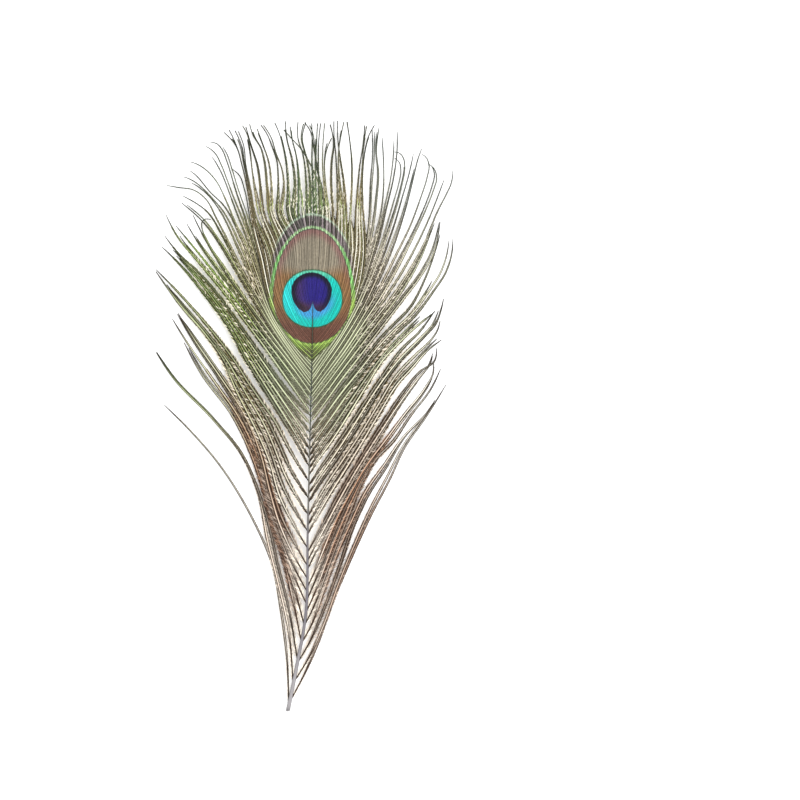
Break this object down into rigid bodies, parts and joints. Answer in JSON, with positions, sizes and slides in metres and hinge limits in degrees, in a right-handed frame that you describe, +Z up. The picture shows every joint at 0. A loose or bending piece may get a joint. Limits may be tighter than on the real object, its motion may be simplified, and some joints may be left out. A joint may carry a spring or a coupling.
{
  "type": "peacock tail feather",
  "caption": "Peacock eye feather lying face up: tapering curved shaft, loose side barbs, iridescent eye and a fringed crest.",
  "frame": {"origin": "centre of the feather's bounding box, at the level of the surface that it lies on", "axes": "+Y along the feather from the cut end to the crest, +X to the right of the eye as seen from above, +Z up"},
  "size_m": [0.1413, 0.2798, 0.0076],
  "materials": {
    "quill": "pale grey-mauve keratin, satin, darker towards the eye",
    "loose_barb": "fine fibres, bronze to olive with a green sheen, pinkish beige near the cut end",
    "eye_barb": "close fibres with iridescent rings: violet blue, turquoise, bronze brown and lime green"
  },
  "bodies": {
    "root": {"shaft": "quill", "left_barbs": "loose_barb", "right_barbs": "loose_barb", "eye_barbs": "eye_barb"}
  },
  "joints": []
}
